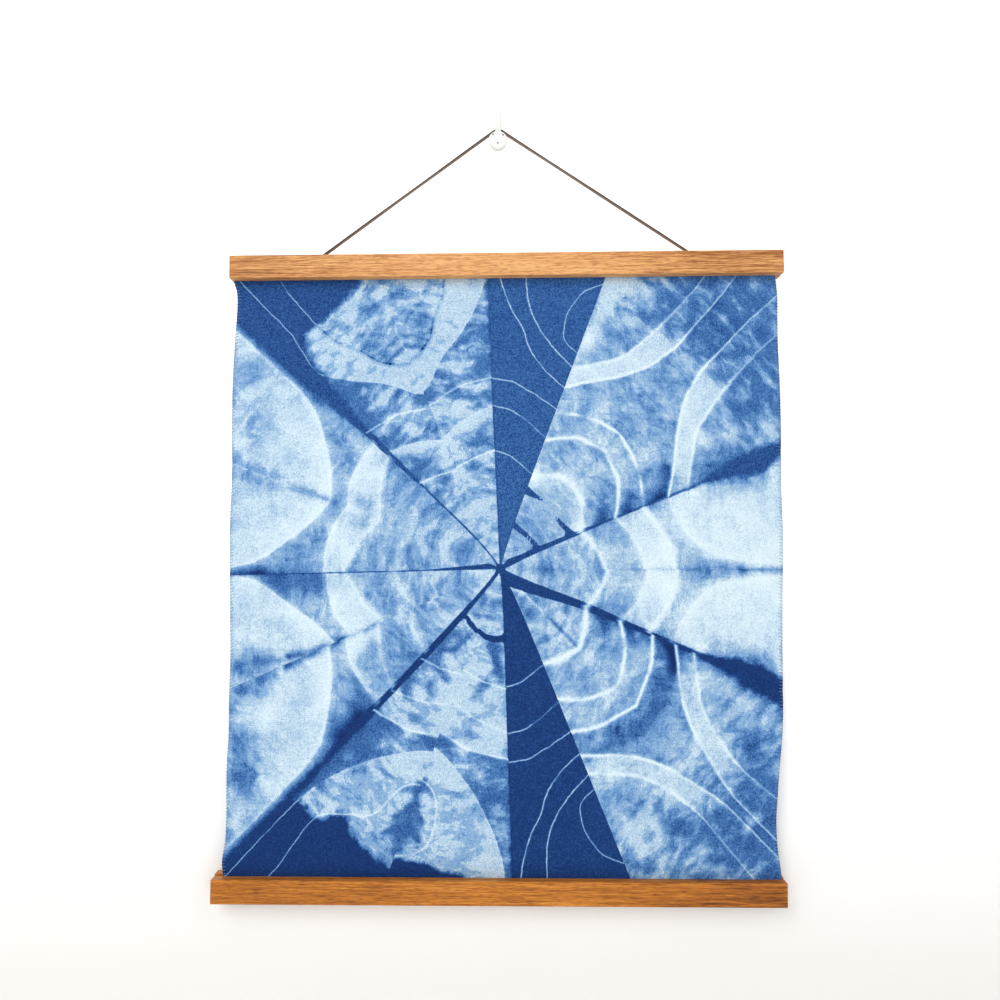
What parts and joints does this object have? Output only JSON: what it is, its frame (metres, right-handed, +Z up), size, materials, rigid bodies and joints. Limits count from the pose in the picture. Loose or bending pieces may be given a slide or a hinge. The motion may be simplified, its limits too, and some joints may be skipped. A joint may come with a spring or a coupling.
{
  "type": "shibori wall hanging with wooden slat hanger and wall hook",
  "caption": "Fold-dyed cotton cloth held between flat wooden slats at its top and bottom, hung by a leather cord over a small round-fronted wall hook.",
  "frame": {"origin": "centre of the wall hook's back face, on the plane of the wall", "axes": "+Z up, +Y into the wall, -Y is the front of the cloth, +X to the viewer's right"},
  "size_m": [0.4738, 0.0201, 0.6721],
  "materials": {
    "white_plastic": "smooth white",
    "leather": "dark brown, waxed",
    "oiled_wood": "oiled, fine straight grain",
    "dyed_cotton": "indigo dyed plain weave with pale resist marks"
  },
  "bodies": {
    "root": {"wall_hook": "white_plastic", "hanging_cord": "leather", "top_front_slat": "oiled_wood", "top_rear_slat": "oiled_wood", "bottom_front_slat": "oiled_wood", "bottom_rear_slat": "oiled_wood", "dyed_cloth": "dyed_cotton"}
  },
  "joints": []
}
